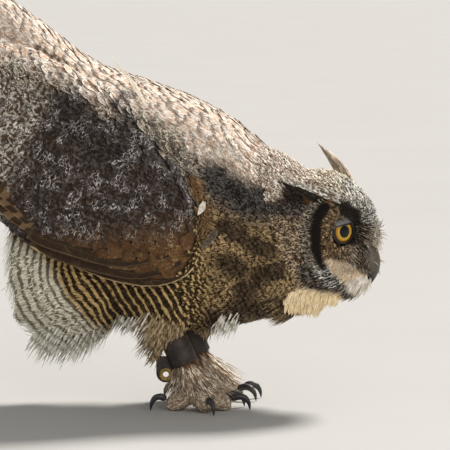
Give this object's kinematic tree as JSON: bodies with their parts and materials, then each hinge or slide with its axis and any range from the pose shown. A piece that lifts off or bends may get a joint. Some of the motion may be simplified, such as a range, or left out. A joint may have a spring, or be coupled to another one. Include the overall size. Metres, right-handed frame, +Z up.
{
  "type": "great horned owl",
  "caption": "Life-size still model of a standing, forward-leaning great horned owl with folded wings, wearing a leather anklet on each leg.",
  "frame": {"origin": "on the floor, at the middle of the owl's box seen from above", "axes": "+X the way the body faces, +Y the owl's left, +Z up"},
  "size_m": [0.4998, 0.218, 0.4267],
  "materials": {
    "plumage_head": "matte",
    "plumage_body": "matte",
    "plumage_loose": "matte",
    "plumage_wing": "matte",
    "flight_feathers": "satin",
    "plumage_leg": "matte",
    "bill": "satin",
    "claw": "gloss",
    "eye": "polished",
    "leather": "satin",
    "brass": "polished"
  },
  "bodies": {
    "root": {"anklet_left": "leather", "anklet_right": "leather", "bill_lower": "bill", "bill_upper": "bill", "breast": "plumage_body", "ear_tuft_left": "plumage_head", "ear_tuft_right": "plumage_head", "eye_left": "eye", "eye_right": "eye", "eyelet_left": "brass", "eyelet_right": "brass", "flight_feathers_left": "flight_feathers", "flight_feathers_right": "flight_feathers", "foot_left": "plumage_leg", "foot_right": "plumage_leg", "head": "plumage_head", "neck": "plumage_head", "rump": "plumage_loose", "tail": "flight_feathers", "talon_hind_left": "claw", "talon_hind_right": "claw", "talon_inner_left": "claw", "talon_inner_right": "claw", "talon_middle_left": "claw", "talon_middle_right": "claw", "talon_outer_left": "claw", "talon_outer_right": "claw", "tarsus_left": "plumage_leg", "tarsus_right": "plumage_leg", "thigh_left": "plumage_leg", "thigh_right": "plumage_leg", "vent": "plumage_loose", "wing_left": "plumage_wing", "wing_right": "plumage_wing"}
  },
  "joints": []
}
